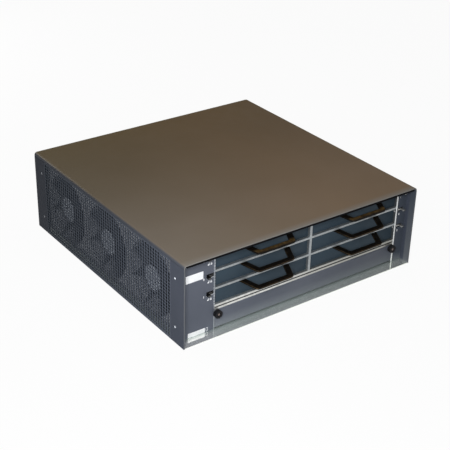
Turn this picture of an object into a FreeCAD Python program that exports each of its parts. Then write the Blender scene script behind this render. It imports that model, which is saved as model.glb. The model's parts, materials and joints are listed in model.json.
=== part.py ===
import FreeCAD, Part
import math
import os

Vector = FreeCAD.Vector

# A rack chassis for a router: perforated sleeve, card cage with blanked slots, side fans,
# midplane and rear bays. Millimetres, front towards -Y, +Z up, origin under the middle of the floor.

# Sheets and gaps
skin = 1.5               # outer sheets and cage walls
inner_sheet = 1.2        # shelves, blanks and trays
bend = 1.0               # inside radius of a fold
running_gap = 0.4        # gap round a piece that slides in a bay
shank_gap = 0.08         # radial gap of a screw or shaft in its hole

# Stack across the chassis
fan_bay_width = 60.5     # side panel to cage wall
slot_width = 168.7
divider_width = 4.2
bar_width = 3.9          # bright flange at the front of the right cage wall
plenum_width = 16.5      # right cage wall's flange to the right side panel

# Stack up the chassis
io_bay_height = 31.5
io_rail_height = 3.0
rail_gap = 2.1
rail_height = 3.2
slot_height = 25.2
slot_rows = 3
roof_space = 8.2

# Stack from front to rear
front_recess = 18.0
slot_depth = 216.0
board_thickness = 3.2
rear_bay_depth = 185.3
rear_recess = 8.0

# Cover and base
cover_bend = 3.0         # inside radius of the cover's rolled edge
cover_flange = 1.0       # straight part of the flange under the rolled edge
base_flange = 12.0       # how far the pan's sides stand up
return_flange = 10.0     # front panels' fold along the side panels

# Side perforation: each gap stands for a group of fine holes
hole_pitch_y = 6.5
hole_pitch_z = 5.05
hole_width = 4.0
group_columns = 4
group_rows = 4
gap_columns = 14
gap_rows = 6

# Tapped holes for rack brackets in the side panels
tapped_spacing_y = 388.0
tapped_spacing_z = 78.0
tapped_centre_z = 65.0
tapped_radius = 1.75

# Slot blanks, their handles and the levers that lock them
blank_setback = 4.0      # blank's face behind the rails
blank_flange = 24.0
handle_root_width = 89.0
handle_grip_width = 65.0
handle_reach = 29.5
handle_leg = 10.0
handle_grip = 8.0
handle_thickness = 2.6
handle_corner = 7.0
handle_droop = 8.5       # degrees
handle_drop = 1.4        # top of the handle's root under the rail
handle_offset = 4.7      # handle's middle to the right of the blank's middle
lever_slot_height = 7.0
lever_slot_rise = 1.4    # slot's middle above the lever's
lever_travel = 6.0
lever_tab = 4.8
lever_slot_play = 2.2    # slot's length beyond tab and travel
lever_reach = 4.5        # tab in front of the panel
lever_thickness = 2.4
lever_level = 20.6       # lever's middle above the shelf
lever_tail_left = 8.0
lever_tail_right = 1.4
lever_play = 0.3

# Air passages through the cage walls
cage_vents = 2           # to each slot
cage_vent_gap = 24.0
cage_vent_height = 9.0

# Captive screws
screw_radius = 2.0
screw_sides = 8
screw_length = 12.0
knob_radius = 6.5
knob_depth = 6.0
knob_sides = 12
knob_recess = 1.6
knob_socket = 3.6
knob_gap = 0.3
io_flange = 10.0
io_screw_inset = 3.8     # screw's axis from the end of the panel
io_screw_level = 25.5    # screw's axis above the floor
io_margin = 0.5

# Fans
fan_count = 3
fan_margin = 5.5         # fan frame to floor and cover
fan_gap = 5.0            # between neighbouring frames
fan_depth = 25.4
fan_front_gap = 4.5      # side panel to fan frame
fan_rim = 3.0            # frame's thinnest wall round the bore
hub_radius = 18.0
hub_sides = 24
bore_sides = 36
hub_setback = 2.0
motor_depth = 4.4
strut_width = 6.0
strut_count = 4
shaft_radius = 3.0
blade_count = 7
blade_thickness = 1.8
blade_root_chord = 17.0
blade_tip_chord = 26.0
blade_pitch = 38.0
tip_gap = 2.0
tray_flange = 22.0
tray_border = 6.0

# Midplane connectors
connector_width = 120.0
connector_height = 10.0
connector_depth = 9.0

# Rear bays
processor_bay_height = 48.0
bay_rim = 3.0            # rear panel's frame round a bay
screw_wall_gap = 0.6     # rear screws' shanks to the cage walls
face_gap = 3.0           # between neighbouring face plates
module_setback = 18.0    # module's inner end from the midplane
rear_handle_width = 70.0
rear_handle_reach = 22.0
rear_handle_leg = 8.0
rear_handle_thickness = 2.6
rear_handle_corner = 7.0
rear_screw_inset = 5.0    # screw's axis from the end of its face plate
vent_columns = 7
vent_width = 3.0
vent_pitch = 6.0
vent_height = 40.0
vent_depth = 4.0
inlet_width = 27.0
inlet_height = 20.0
inlet_depth = 18.0
inlet_wall = 2.0
inlet_pin_width = 2.0
inlet_pin_height = 4.0
inlet_pin_spread = 7.0
inlet_pin_setback = 6.0   # pins' ends behind the mouth
inlet_pin_step = 2.0      # middle pin above the axis, outer pins below it
rocker_width = 14.0
rocker_height = 21.0
rocker_depth = 8.0
rocker_rise = 2.0
rocker_gap = 0.6

# Places that follow from the stacks
width = 2 * skin + fan_bay_width + skin + 2 * slot_width + divider_width + bar_width + plenum_width
depth = front_recess + slot_depth + board_thickness + rear_bay_depth + skin + rear_recess
left = -width / 2
right = width / 2
front = -depth / 2
rear = depth / 2
floor = skin
io_ceiling = floor + io_bay_height
io_shelf = io_ceiling + io_rail_height + rail_gap + rail_height
row_pitch = slot_height + rail_height
roof = io_shelf + slot_rows * row_pitch - rail_height
cover_under = roof + roof_space
height = cover_under + skin
panel_front = front + front_recess
midplane_front = panel_front + slot_depth
midplane_rear = midplane_front + board_thickness
rear_panel_front = midplane_rear + rear_bay_depth
rear_panel_back = rear_panel_front + skin
wall_left = left + skin + fan_bay_width
slots_left = wall_left + skin
divider_left = slots_left + slot_width
divider_right = divider_left + divider_width
slots_right = divider_right + slot_width
bar_right = slots_right + bar_width
blank_front = panel_front + blank_setback
shelf_tops = [io_shelf + row * row_pitch for row in range(slot_rows)]
columns = {"left": divider_left - slot_width, "right": divider_right}
row_names = ["lower", "middle", "upper"]
lever_front = panel_front + skin + lever_play
lever_depth = blank_setback - skin - 2 * lever_play
lever_slot_width = lever_tab + lever_travel + lever_slot_play

made = {}


def save(name, shape):
    made[name] = shape


def block(x0, x1, y0, y1, z0, z1):
    return Part.makeBox(x1 - x0, y1 - y0, z1 - z0, Vector(x0, y0, z0))


def place(axis, along, a, b):
    """Point of a profile that is drawn square to the axis."""
    if axis == "x":
        return Vector(along, a, b)
    if axis == "y":
        return Vector(a, along, b)
    return Vector(a, b, along)


def rounded_line(points, radii):
    """Edges along the points, with an arc of the given radius at each inner corner."""
    edges = []
    start = points[0]
    if not any(radii):
        return [Part.makeLine(a, b) for a, b in zip(points, points[1:])]
    for before, corner, after, radius in zip(points, points[1:], points[2:], radii):
        into = (corner - before).normalize()
        out = (after - corner).normalize()
        turn = into.getAngle(out)
        cut = radius * math.tan(turn / 2)
        arc_start = corner - into * cut
        arc_end = corner + out * cut
        inward = (out - into).normalize()
        middle = corner + inward * (radius / math.cos(turn / 2) - radius)
        edges.append(Part.makeLine(start, arc_start))
        edges.append(Part.Arc(arc_start, middle, arc_end).toShape())
        start = arc_end
    edges.append(Part.makeLine(start, points[-1]))
    return edges


def folded(path, thickness, inside, axis, along, length):
    """Sheet folded along a path square to the axis; its thickness lies to the left of the path."""
    steps = [(b[0] - a[0], b[1] - a[1]) for a, b in zip(path, path[1:])]
    sides = [(-dy / math.hypot(dx, dy), dx / math.hypot(dx, dy)) for dx, dy in steps]
    offsets = [sides[0]]
    outer_radii = []
    inner_radii = []
    for one, two in zip(sides, sides[1:]):
        scale = 1 + one[0] * two[0] + one[1] * two[1]
        offsets.append(((one[0] + two[0]) / scale, (one[1] + two[1]) / scale))
        left_turn = one[0] * two[1] - one[1] * two[0] > 0
        outside = inside + thickness if inside else 0
        outer_radii.append(outside if left_turn else inside)
        inner_radii.append(inside if left_turn else outside)
    offsets.append(sides[-1])
    outer = [place(axis, along, a, b) for a, b in path]
    inner = [place(axis, along, a + thickness * n[0], b + thickness * n[1])
             for (a, b), n in zip(path, offsets)]
    edges = rounded_line(outer, outer_radii)
    edges.append(Part.makeLine(outer[-1], inner[-1]))
    edges += rounded_line(inner[::-1], inner_radii[::-1])
    edges.append(Part.makeLine(inner[0], outer[0]))
    return Part.Face(Part.Wire(edges)).extrude(place(axis, length, 0, 0))


def polygon(points):
    return Part.makePolygon(points + points[:1])


def outline(points, axis, along, length):
    wire = polygon([place(axis, along, a, b) for a, b in points])
    return Part.Face(wire).extrude(place(axis, length, 0, 0))


def ring(centre, radius, sides, axis):
    """Corners of a regular polygon round an axis along X or Y."""
    first = Vector(0, 0, 1)
    second = axis.cross(first)
    turns = [2 * math.pi * (side + 0.5) / sides for side in range(sides)]
    return [centre + first * (radius * math.cos(a)) + second * (radius * math.sin(a)) for a in turns]


def prism(centre, radius, sides, axis, length):
    return Part.Face(polygon(ring(centre, radius, sides, axis))).extrude(axis * length)


def prism_hole(centre, flat_radius, sides, axis, length):
    """Hole whose flats lie at the radius, so that a shank of that radius turns in it."""
    return prism(centre, flat_radius / math.cos(math.pi / sides), sides, axis, length)


def base_pan():
    inner = right - skin
    path = [(-inner, floor + base_flange), (-inner, 0), (inner, 0), (inner, floor + base_flange)]
    pan = folded(path, skin, 0, "y", front, depth)
    lip_end = panel_front + skin + return_flange
    for x0 in (-inner, inner - skin):
        lip = block(x0, x0 + skin, front, lip_end, floor, floor + base_flange)
        tail = block(x0, x0 + skin, rear_panel_front, rear, floor, floor + base_flange)
        pan = pan.cut(lip).cut(tail)
    return pan


def perforation(x0):
    """Gaps of one side panel, each as large as its group of fine holes."""
    gap_y = group_columns * hole_pitch_y - (hole_pitch_y - hole_width)
    gap_z = group_rows * hole_pitch_z - (hole_pitch_z - hole_width)
    step_y = group_columns * hole_pitch_y
    step_z = group_rows * hole_pitch_z
    y_first = -step_y * (gap_columns - 1) / 2 - gap_y / 2
    z_first = tapped_centre_z - step_z * (gap_rows - 1) / 2 - gap_z / 2
    gaps = []
    for column in range(gap_columns):
        for row in range(gap_rows):
            y0 = y_first + column * step_y
            z0 = z_first + row * step_z
            gaps.append(block(x0 - skin, x0 + 2 * skin, y0, y0 + gap_y, z0, z0 + gap_z))
    return Part.makeCompound(gaps)


def tapped_places():
    low = tapped_centre_z - tapped_spacing_z / 2
    high = tapped_centre_z + tapped_spacing_z / 2
    return [(y, z) for y in (-tapped_spacing_y / 2, tapped_spacing_y / 2) for z in (low, high)]


def side_panel(x0):
    top = height - skin - cover_bend - cover_flange
    panel = block(x0, x0 + skin, front, rear, 0, top)
    for y, z in tapped_places():
        hole = Part.makeCylinder(tapped_radius, 3 * skin, Vector(x0 - skin, y, z), Vector(1, 0, 0))
        panel = panel.cut(hole)
    return panel.cut(perforation(x0))


def top_cover():
    edge = height - skin - cover_bend - cover_flange
    path = [(right, edge), (right, height), (left, height), (left, edge)]
    return folded(path, skin, cover_bend, "y", front, depth)


def cover_corners(y):
    """Cuts that keep an upright panel's top corners clear of the cover's rolled edges."""
    corners = []
    for side in (-1, 1):
        edge = side * (right - skin)
        points = [(edge, cover_under - cover_bend), (edge, cover_under),
                  (edge - side * cover_bend, cover_under)]
        corners.append(outline(points, "y", y - skin, 2 * return_flange))
    return Part.makeCompound(corners)


def lever_levels():
    return [top + lever_level for top in shelf_tops]


def lever_slots(x0):
    slots = []
    for level in lever_levels():
        z = level + lever_slot_rise
        slots.append(block(x0, x0 + lever_slot_width, panel_front - skin, panel_front + 2 * skin,
                           z - lever_slot_height / 2, z + lever_slot_height / 2))
    return Part.makeCompound(slots)


def lever_windows(x0):
    windows = []
    half = lever_thickness / 2 + lever_play
    for z in lever_levels():
        windows.append(block(x0 - skin, x0 + 2 * skin, lever_front - lever_play,
                             lever_front + lever_depth + lever_play, z - half, z + half))
    return Part.makeCompound(windows)


def front_panel_left():
    x0 = left + skin
    path = [(wall_left, panel_front), (x0, panel_front), (x0, panel_front + skin + return_flange)]
    panel = folded(path[::-1], skin, 0, "z", floor, cover_under - floor)
    panel = panel.cut(cover_corners(panel_front))
    return panel.cut(lever_slots(wall_left - lever_slot_width))


def front_panel_right():
    x0 = right - skin
    path = [(x0, panel_front + skin + return_flange), (x0, panel_front), (bar_right, panel_front)]
    panel = folded(path[::-1], skin, 0, "z", floor, cover_under - floor)
    panel = panel.cut(cover_corners(panel_front))
    return panel.cut(lever_slots(bar_right + lever_play))


def vent_slots(x0):
    """Air passages through a cage wall, one row for each row of slots."""
    vents = []
    first = blank_front + blank_flange + cage_vent_gap
    length = (midplane_front - first) / cage_vents - cage_vent_gap
    for top in shelf_tops:
        for step in range(cage_vents):
            y0 = first + (length + cage_vent_gap) * step
            z0 = top + (slot_height - cage_vent_height) / 2
            vents.append(block(x0 - skin, x0 + 2 * skin, y0, y0 + length, z0, z0 + cage_vent_height))
    return Part.makeCompound(vents)


def screw_tab(x0, x1):
    """Ear of a cage wall that takes the shank of the input/output panel's screw."""
    y0 = panel_front + skin + io_margin
    z = floor + io_screw_level
    return block(x0, x1, y0, y0 + skin, z - 4 * screw_radius, io_ceiling)


def shank_hole(x, y, z, length):
    return prism_hole(Vector(x, y, z), screw_radius + shank_gap, screw_sides, Vector(0, 1, 0), length)


def cage_wall_left():
    wall = block(wall_left, slots_left, panel_front, rear_panel_front, floor, cover_under)
    tab = screw_tab(wall_left, slots_left + io_screw_inset + 2 * screw_radius)
    hole = shank_hole(slots_left + io_screw_inset, panel_front, floor + io_screw_level, 10 * skin)
    wall = wall.fuse(tab).removeSplitter().cut(hole)
    return wall.cut(lever_windows(wall_left)).cut(vent_slots(wall_left))


def cage_wall_right():
    path = [(bar_right, panel_front), (slots_right, panel_front), (slots_right, rear_panel_front)]
    wall = folded(path[::-1], skin, 0, "z", floor, cover_under - floor)
    tab = screw_tab(slots_right - io_screw_inset - 2 * screw_radius, slots_right + skin)
    hole = shank_hole(slots_right - io_screw_inset, panel_front, floor + io_screw_level, 10 * skin)
    wall = wall.fuse(tab).removeSplitter().cut(hole)
    return wall.cut(lever_windows(slots_right)).cut(vent_slots(slots_right))


def shelf(x0, top):
    path = [(midplane_front, top), (panel_front, top), (panel_front, top - rail_height)]
    return folded(path, inner_sheet, 0, "x", x0, slot_width)


def bay_ceiling():
    path = [(panel_front, io_ceiling + io_rail_height), (panel_front, io_ceiling),
            (midplane_front, io_ceiling)]
    return folded(path, inner_sheet, 0, "x", slots_left, slots_right - slots_left)


def cage_roof():
    path = [(panel_front, cover_under), (panel_front, roof), (midplane_front, roof)]
    return folded(path, inner_sheet, 0, "x", slots_left, slots_right - slots_left)


def centre_divider():
    path = [(divider_left, midplane_front), (divider_left, panel_front),
            (divider_right, panel_front), (divider_right, midplane_front)]
    return folded(path, inner_sheet, 0, "z", io_shelf, roof - io_shelf)


def io_shelf_sheet():
    path = [(midplane_front, io_shelf), (panel_front, io_shelf), (panel_front, io_shelf - rail_height)]
    return folded(path, inner_sheet, 0, "x", slots_left, slots_right - slots_left)


def slot_blank(x0, top):
    """Shallow pan; a lever's nose holds its face from in front."""
    low_x = x0 + running_gap
    high_x = x0 + slot_width - running_gap
    low_z = top + running_gap
    high_z = top + slot_height - running_gap
    pan = block(low_x, high_x, blank_front, blank_front + blank_flange, low_z, high_z)
    hollow = block(low_x + inner_sheet, high_x - inner_sheet, blank_front + inner_sheet,
                   blank_front + blank_flange, low_z + inner_sheet, high_z - inner_sheet)
    return pan.cut(hollow)


def slot_handle(x0, top):
    """Flat strap bent to a tapering loop; it droops from just under the rail."""
    centre = x0 + slot_width / 2 + handle_offset
    root = handle_root_width / 2
    grip = handle_grip_width / 2
    slope = (root - grip) / handle_reach
    inner_grip = grip - handle_leg + slope * handle_grip
    points = [(root, 0), (grip, -handle_reach), (-grip, -handle_reach), (-root, 0),
              (-(root - handle_leg), 0), (-inner_grip, -(handle_reach - handle_grip)),
              (inner_grip, -(handle_reach - handle_grip)), (root - handle_leg, 0)]
    run_back = handle_thickness
    spots = [Vector(x, y, 0) for x, y in points]
    for index, spread in ((0, 1), (3, -1), (4, -1), (7, 1)):
        spots[index] += Vector(spread * slope * run_back, run_back, 0)
    outside = rounded_line([spots[0], spots[1], spots[2], spots[3]], [handle_corner] * 2)
    inside_radius = handle_corner - handle_leg / 2
    inside = rounded_line([spots[4], spots[5], spots[6], spots[7]], [inside_radius] * 2)
    ends = [Part.makeLine(spots[3], spots[4]), Part.makeLine(spots[7], spots[0])]
    strap = Part.Face(Part.Wire(outside + ends[:1] + inside + ends[1:]))
    strap = strap.extrude(Vector(0, 0, -handle_thickness))
    strap.rotate(Vector(0, 0, 0), Vector(1, 0, 0), handle_droop)
    strap.translate(Vector(centre, blank_front, top + slot_height - handle_drop))
    behind = block(centre - handle_root_width, centre + handle_root_width, blank_front,
                   blank_front + 4 * handle_thickness, top, top + 2 * slot_height)
    return strap.cut(behind)


def lever(tip_x, tab_x, level, outward, tail):
    """Flat slider: a nose through the cage wall, a tail behind the panel, a tab through its slot."""
    tab_far = tab_x + outward * lever_tab
    tail_end = tab_far + outward * tail
    back = lever_front + lever_depth
    points = [(tip_x, lever_front), (tab_x, lever_front), (tab_x, panel_front - lever_reach),
              (tab_far, panel_front - lever_reach), (tab_far, lever_front), (tail_end, lever_front),
              (tail_end, back), (tip_x, back)]
    return outline(points, "z", level - lever_thickness / 2, lever_thickness)


def captive_screw(x, y, z, facing):
    """Knob with a socket and a plain shank; facing is the way the knob looks along Y."""
    axis = Vector(0, facing, 0)
    seat = Vector(x, y + facing * knob_gap, z)
    knob = prism(seat, knob_radius, knob_sides, axis, knob_depth)
    mouth = seat + axis * (knob_depth - knob_recess)
    knob = knob.cut(prism(mouth, knob_socket, 6, axis, knob_depth))
    shank = prism(seat + axis * (knob_recess / 2), screw_radius, screw_sides, axis * -1, screw_length)
    return knob.fuse(shank).removeSplitter()


def io_blank():
    """Blank front of the input/output bay: a channel with its ends left flat for the screws."""
    low_x = slots_left + running_gap
    high_x = slots_right - running_gap
    low_z = floor + io_margin
    high_z = io_ceiling - io_margin
    path = [(panel_front + io_flange, low_z), (panel_front, low_z),
            (panel_front, high_z), (panel_front + io_flange, high_z)]
    panel = folded(path[::-1], skin, bend, "x", low_x, high_x - low_x)
    relief = 2 * io_screw_inset + 3 * screw_radius
    for x0, x1 in ((low_x, low_x + relief), (high_x - relief, high_x)):
        panel = panel.cut(block(x0, x1, panel_front + skin, panel_front + 2 * io_flange, 0, io_ceiling))
    for x in (slots_left + io_screw_inset, slots_right - io_screw_inset):
        panel = panel.cut(shank_hole(x, panel_front - skin, floor + io_screw_level, 3 * skin))
    return panel


fan_size = cover_under - floor - 2 * fan_margin
fan_face = left + skin + fan_front_gap
fan_back = fan_face + fan_depth
fan_level = (floor + cover_under) / 2
bore_radius = fan_size / 2 - fan_rim
fan_places = [(index - (fan_count - 1) / 2) * (fan_size + fan_gap) for index in range(fan_count)]


def fan_frame(y):
    half = fan_size / 2
    across = Vector(1, 0, 0)
    frame = block(fan_face, fan_back, y - half, y + half, fan_level - half, fan_level + half)
    axis_start = Vector(fan_face, y, fan_level)
    frame = frame.cut(prism_hole(axis_start, bore_radius, bore_sides, across, fan_depth))
    motor = prism(Vector(fan_back - motor_depth, y, fan_level), hub_radius, hub_sides, across, motor_depth)
    for index in range(strut_count):
        strut = block(fan_back - motor_depth, fan_back, y - strut_width / 2, y + strut_width / 2,
                      fan_level, fan_level + half - fan_rim / 2)
        turn = 45 + 360 / strut_count * index
        strut.rotate(Vector(0, y, fan_level), across, turn)
        motor = motor.fuse(strut)
    frame = frame.fuse(motor).removeSplitter()
    return frame.cut(prism_hole(axis_start, shaft_radius + shank_gap, screw_sides, across, fan_depth))


def fan_blade(x, y):
    """Flat blade that widens towards its tip, pitched about its own length."""
    half_tip = blade_tip_chord / 2
    swept = half_tip * math.cos(math.radians(blade_pitch))
    tip = math.sqrt((bore_radius - tip_gap) ** 2 - swept ** 2)
    half_root = blade_root_chord / 2
    root = hub_radius / 2
    points = [(-half_root, root), (half_root, root), (half_tip, tip), (-half_tip, tip)]
    blade = outline(points, "x", -blade_thickness / 2, blade_thickness)
    blade.rotate(Vector(0, 0, 0), Vector(0, 0, 1), blade_pitch)
    blade.translate(Vector(x, y, fan_level))
    return blade


def fan_rotor(y):
    across = Vector(1, 0, 0)
    hub_front = fan_face + hub_setback
    hub_back = fan_back - motor_depth - knob_gap
    rotor = prism(Vector(hub_front, y, fan_level), hub_radius, hub_sides, across, hub_back - hub_front)
    for index in range(blade_count):
        blade = fan_blade((hub_front + hub_back) / 2, y)
        blade.rotate(Vector(0, y, fan_level), across, 360 / blade_count * index)
        rotor = rotor.fuse(blade)
    shaft = prism(Vector(hub_back - shaft_radius, y, fan_level), shaft_radius, screw_sides, across,
                  shaft_radius + knob_gap + motor_depth)
    return rotor.fuse(shaft).removeSplitter()


def fan_tray():
    """Channel behind the fans: windows for the air, flanges on the floor and under the cover."""
    run = fan_count * fan_size + (fan_count - 1) * fan_gap
    x0 = fan_back
    path = [(x0 - tray_flange, floor), (x0 + skin, floor),
            (x0 + skin, cover_under), (x0 - tray_flange, cover_under)]
    tray = folded(path, skin, 0, "y", -run / 2, run)
    half = fan_size / 2 - tray_border
    for y in fan_places:
        tray = tray.cut(block(x0 - skin, x0 + 2 * skin, y - half, y + half,
                              fan_level - half, fan_level + half))
    return tray


power_floor = floor + processor_bay_height
power_bays = {"left": (slots_left, (slots_left + slots_right - skin) / 2),
              "right": ((slots_left + slots_right + skin) / 2, slots_right)}


def midplane():
    """Board across the cage with the slots' sockets on its front and the bays' on its rear."""
    half = connector_width / 2
    board = block(slots_left, slots_right, midplane_front, midplane_rear, floor, cover_under)
    sockets = []
    for x0 in columns.values():
        for top in shelf_tops:
            x = x0 + slot_width / 2
            z = top + slot_height / 2
            sockets.append(block(x - half, x + half, midplane_front - connector_depth, midplane_front,
                                 z - connector_height / 2, z + connector_height / 2))
    middle = (slots_left + slots_right) / 2
    z = floor + io_bay_height / 2
    sockets.append(block(middle - half, middle + half, midplane_front - connector_depth, midplane_front,
                         z - connector_height / 2, z + connector_height / 2))
    places = [(middle, floor + processor_bay_height / 2)]
    places += [((x0 + x1) / 2, (power_floor + cover_under) / 2) for x0, x1 in power_bays.values()]
    for x, z in places:
        sockets.append(block(x - half, x + half, midplane_rear, midplane_rear + connector_depth,
                             z - connector_height / 2, z + connector_height / 2))
    return board.multiFuse(sockets).removeSplitter()


def bay_openings():
    """Corners of the rear panel's three openings: x0, x1, z0, z1."""
    openings = {"processor": (slots_left + bay_rim, slots_right - bay_rim, floor + bay_rim,
                              power_floor - bay_rim)}
    for side, (x0, x1) in power_bays.items():
        openings[side] = (x0 + bay_rim, x1 - bay_rim, power_floor + skin + bay_rim, cover_under - bay_rim)
    return openings


def face_corners(name):
    """Corners of the plate that covers an opening and is screwed to the rim on both sides."""
    x0, x1, z0, z1 = bay_openings()[name]
    past_middle = bay_rim + skin / 2 - face_gap / 2
    left_screw, right_screw = screw_columns()
    outer_left = x0 - past_middle if name == "right" else left_screw - rear_screw_inset
    outer_right = x1 + past_middle if name == "left" else right_screw + rear_screw_inset
    low = z0 - bay_rim / 2
    high = z1 + bay_rim / 2
    return outer_left, outer_right, low, high


def screw_columns():
    """The rear screws stand just outside the cage walls."""
    past = screw_wall_gap + screw_radius
    return wall_left - past, slots_right + skin + past


def screw_places(name):
    x0, x1, z0, z1 = bay_openings()[name]
    level = (z0 + z1) / 2
    left_screw, right_screw = screw_columns()
    if name == "left":
        return [(left_screw, level)]
    if name == "right":
        return [(right_screw, level)]
    return [(left_screw, level), (right_screw, level)]


def rear_panel():
    panel = block(left + skin, right - skin, rear_panel_front, rear_panel_back, floor, cover_under)
    for name, (x0, x1, z0, z1) in bay_openings().items():
        panel = panel.cut(block(x0, x1, rear_panel_front - skin, rear_panel_back + skin, z0, z1))
        for x, z in screw_places(name):
            panel = panel.cut(shank_hole(x, rear_panel_front - skin, z, 3 * skin))
    return panel.cut(cover_corners(rear_panel_front))


def power_shelf():
    return block(slots_left, slots_right, midplane_rear, rear_panel_front, power_floor, power_floor + skin)


def power_divider():
    middle = (slots_left + slots_right) / 2
    return block(middle - skin / 2, middle + skin / 2, midplane_rear, rear_panel_front,
                 power_floor + skin, cover_under)


def drilled_face(name):
    x0, x1, z0, z1 = face_corners(name)
    face = block(x0, x1, rear_panel_back, rear_panel_back + skin, z0, z1)
    for x, z in screw_places(name):
        face = face.cut(shank_hole(x, rear_panel_back - skin, z, 3 * skin))
    return face


def processor_tray():
    """Face plate with a tray folded back from it, carrying the processor board."""
    x0, x1, z0, z1 = bay_openings()["processor"]
    low = z0 + running_gap
    inner_end = midplane_rear + module_setback
    tray = block(x0 + running_gap, x1 - running_gap, inner_end, rear_panel_back, low, low + inner_sheet)
    return drilled_face("processor").fuse(tray).removeSplitter()


def power_case():
    x0, x1, z0, z1 = bay_openings()["left"]
    inner_end = midplane_rear + module_setback
    return block(x0 + running_gap, x1 - running_gap, inner_end, rear_panel_back,
                 z0 + running_gap, z1 - running_gap)


def inlet_corner():
    """Lower left outer corner of the inlet socket on the power supply's face."""
    x0, x1, z0, z1 = bay_openings()["left"]
    return x1 - 2 * inlet_width, z0 + running_gap + inlet_height / 2


def rocker_centre():
    x, z = inlet_corner()
    return x - rocker_width * 1.5, z + inlet_height / 2


def vent_corner():
    x0, x1, z0, z1 = bay_openings()["left"]
    return x0 + 3 * vent_pitch, (z0 + z1 - vent_height) / 2


def power_pockets(y0, y1):
    """Room for the inlet socket, the rocker and the vent slots, between two depths."""
    x, z = inlet_corner()
    pockets = [block(x, x + inlet_width, y0, y1, z, z + inlet_height)]
    x, z = rocker_centre()
    half_x = rocker_width / 2 + rocker_gap
    half_z = rocker_height / 2 + rocker_gap
    pockets.append(block(x - half_x, x + half_x, y0, y1, z - half_z, z + half_z))
    return pockets


def vent_cuts(y0, y1):
    x, z = vent_corner()
    cuts = []
    for index in range(vent_columns):
        x0 = x + index * vent_pitch
        cuts.append(block(x0, x0 + vent_width, y0, y1, z, z + vent_height))
    return cuts


def power_face():
    cuts = power_pockets(rear_panel_back - skin, rear_panel_back + 2 * skin)
    cuts += vent_cuts(rear_panel_back - skin, rear_panel_back + 2 * skin)
    return drilled_face("left").cut(Part.makeCompound(cuts))


def power_supply_case():
    case = power_case()
    inlet, rocker = power_pockets(rear_panel_back - inlet_depth, rear_panel_back + skin)
    vents = vent_cuts(rear_panel_back - vent_depth, rear_panel_back + skin)
    return case.cut(Part.makeCompound([inlet, rocker] + vents))


def inlet_socket():
    """Open cup with three flat pins, flush with the face plate."""
    x, z = inlet_corner()
    y0 = rear_panel_back - inlet_depth
    y1 = rear_panel_back + skin
    cup = block(x, x + inlet_width, y0, y1, z, z + inlet_height)
    cup = cup.cut(block(x + inlet_wall, x + inlet_width - inlet_wall, y0 + inlet_wall, y1,
                        z + inlet_wall, z + inlet_height - inlet_wall))
    middle_x = x + inlet_width / 2
    middle_z = z + inlet_height / 2
    for step_x, step_z in ((-1, -1), (0, 1), (1, -1)):
        pin_x = middle_x + step_x * inlet_pin_spread
        pin_z = middle_z + step_z * inlet_pin_step
        pin = block(pin_x - inlet_pin_width / 2, pin_x + inlet_pin_width / 2, y0 + inlet_wall / 2,
                    y1 - inlet_pin_setback, pin_z - inlet_pin_height / 2, pin_z + inlet_pin_height / 2)
        cup = cup.fuse(pin)
    return cup.removeSplitter()


def rocker_switch():
    """Rocker whose two lands slope from a ridge in the middle."""
    x, z = rocker_centre()
    half = rocker_height / 2
    back = rear_panel_back - rocker_depth
    lip = rear_panel_back + skin
    points = [(back, z - half / 2), (back, z + half / 2), (lip, z + half),
              (lip + rocker_rise, z + half), (lip, z), (lip + rocker_rise / 3, z - half),
              (lip - skin, z - half)]
    return outline(points, "x", x - rocker_width / 2, rocker_width)


def rear_handle(x, z):
    """Strap handle standing off a rear face plate, bent from one strip."""
    y0 = rear_panel_back + skin
    half = rear_handle_width / 2
    y1 = y0 + rear_handle_reach
    corner = rear_handle_corner
    path = [(x + half, y0), (x + half, y1 - corner), (x + half - corner, y1),
            (x - half + corner, y1), (x - half, y1 - corner), (x - half, y0)]
    return folded(path, rear_handle_thickness, 0, "z", z - rear_handle_leg / 2, rear_handle_leg)


def build_sleeve():
    save("base_pan", base_pan())
    save("left_side_panel", side_panel(left))
    save("right_side_panel", side_panel(right - skin))
    save("top_cover", top_cover())
    save("front_panel_left", front_panel_left())
    save("front_panel_right", front_panel_right())


def build_cage():
    save("cage_wall_left", cage_wall_left())
    save("cage_wall_right", cage_wall_right())
    save("cage_roof", cage_roof())
    save("centre_divider", centre_divider())
    save("io_shelf", io_shelf_sheet())
    save("io_bay_ceiling", bay_ceiling())
    for row, top in zip(row_names[1:], shelf_tops[1:]):
        for side, x0 in columns.items():
            save(row + "_shelf_" + side, shelf(x0, top))
    save("midplane_board", midplane())


def build_slots():
    for row, top in zip(row_names, shelf_tops):
        level = top + lever_level
        for side, x0 in columns.items():
            save(row + "_blank_" + side, slot_blank(x0, top))
            save(row + "_handle_" + side, slot_handle(x0, top))
        near = wall_left - lever_slot_width + lever_play + lever_tab
        save(row + "_lever_left", lever(slots_left - lever_play, near, level, -1, lever_tail_left))
        near = bar_right + lever_slot_width - lever_tab
        save(row + "_lever_right", lever(slots_right + lever_play, near, level, 1, lever_tail_right))
    save("io_blank", io_blank())
    level = floor + io_screw_level
    save("io_screw_left", captive_screw(slots_left + io_screw_inset, panel_front, level, -1))
    save("io_screw_right", captive_screw(slots_right - io_screw_inset, panel_front, level, -1))


def build_fans():
    save("fan_tray", fan_tray())
    for name, y in zip(("front", "middle", "rear"), fan_places):
        save("fan_frame_" + name, fan_frame(y))
        save("fan_rotor_" + name, fan_rotor(y))


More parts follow.
